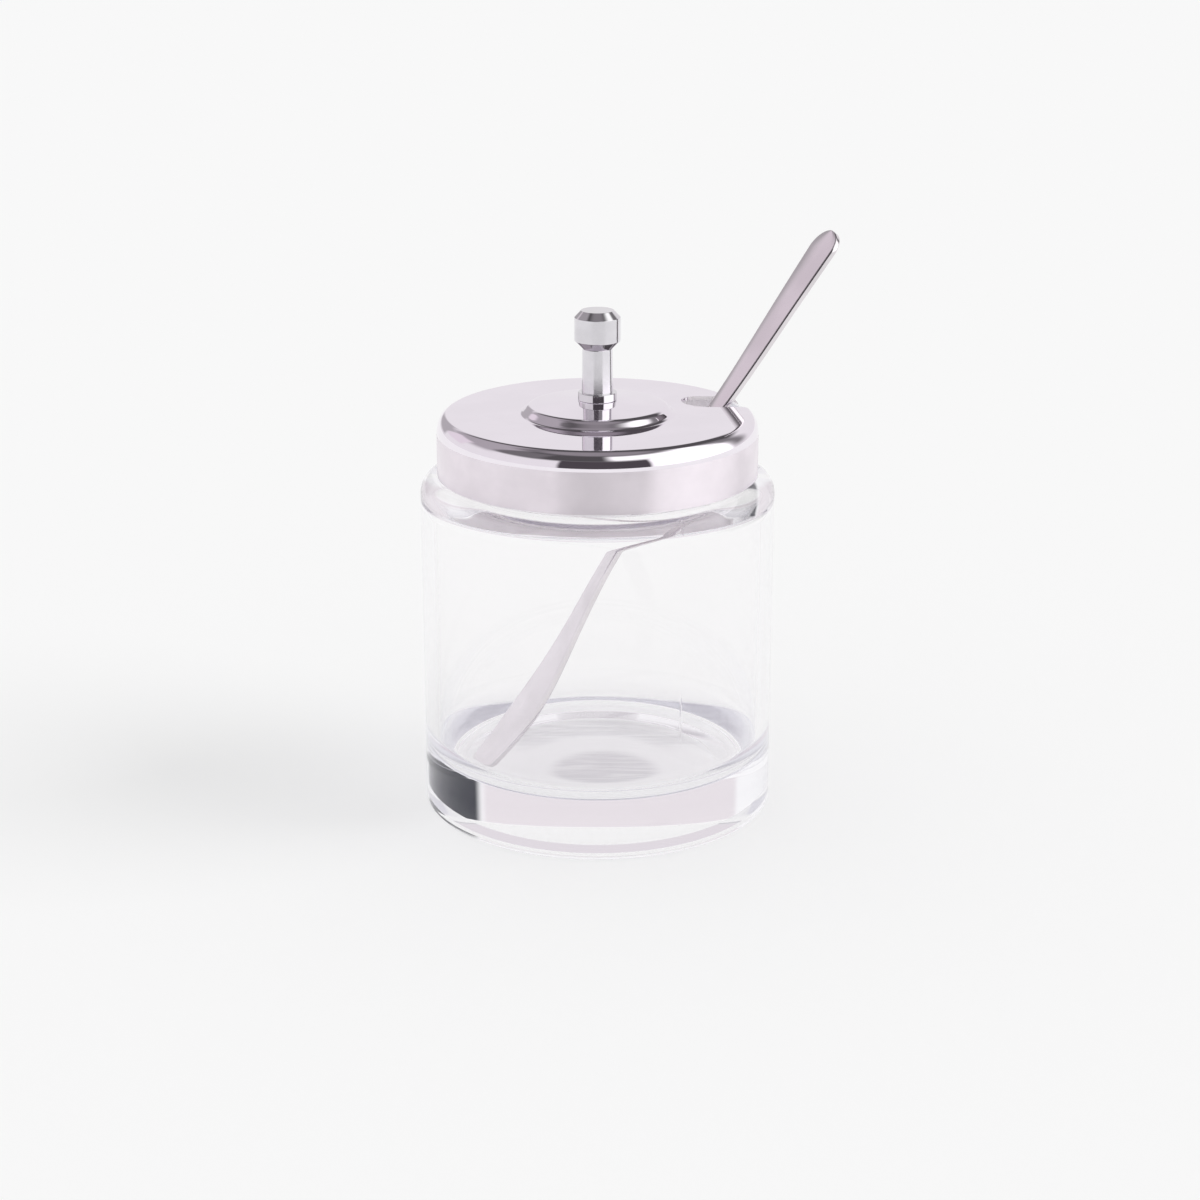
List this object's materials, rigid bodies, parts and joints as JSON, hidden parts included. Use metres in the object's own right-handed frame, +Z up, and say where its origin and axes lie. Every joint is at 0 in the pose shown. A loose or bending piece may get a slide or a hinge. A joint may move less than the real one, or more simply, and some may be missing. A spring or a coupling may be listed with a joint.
{
  "type": "mustard pot",
  "caption": "Round glass pot with a heavy base, a slip-on metal lid with a turned knob, and a paddle spoon that leans out through a slot in the lid.",
  "frame": {"origin": "centre of the ring that the jar stands on, on the jar's axis, in the plane of the table", "axes": "+Z up the jar's axis, +X towards the side where the spoon's handle leaves the lid, +Y to the back of the picture's view"},
  "size_m": [0.0737, 0.062, 0.1001],
  "materials": {
    "jar_glass": "clear pressed glass, fire-polished",
    "lid_metal": "polished sheet metal, finely brushed skirt",
    "knob_metal": "turned and polished, fine turning lines on the head",
    "fastener_steel": "plain bright steel",
    "spoon_metal": "polished faces, ground edges"
  },
  "bodies": {
    "jar": {"glass_jar": "jar_glass"},
    "lid": {"lid_cap": "lid_metal", "knob": "knob_metal", "knob_washer": "fastener_steel", "knob_screw": "fastener_steel"},
    "spoon": {"spoon": "spoon_metal"}
  },
  "joints": [
    {"name": "lid_lift", "type": "slide", "parent": "jar", "child": "lid", "axis": [0, 0, 1], "range_m": [0, 0.075]},
    {"name": "spoon_pull", "type": "slide", "parent": "lid", "child": "spoon", "axis": [0.5518, 0.2491, 0.7959], "range_m": [0, 0.05]}
  ]
}
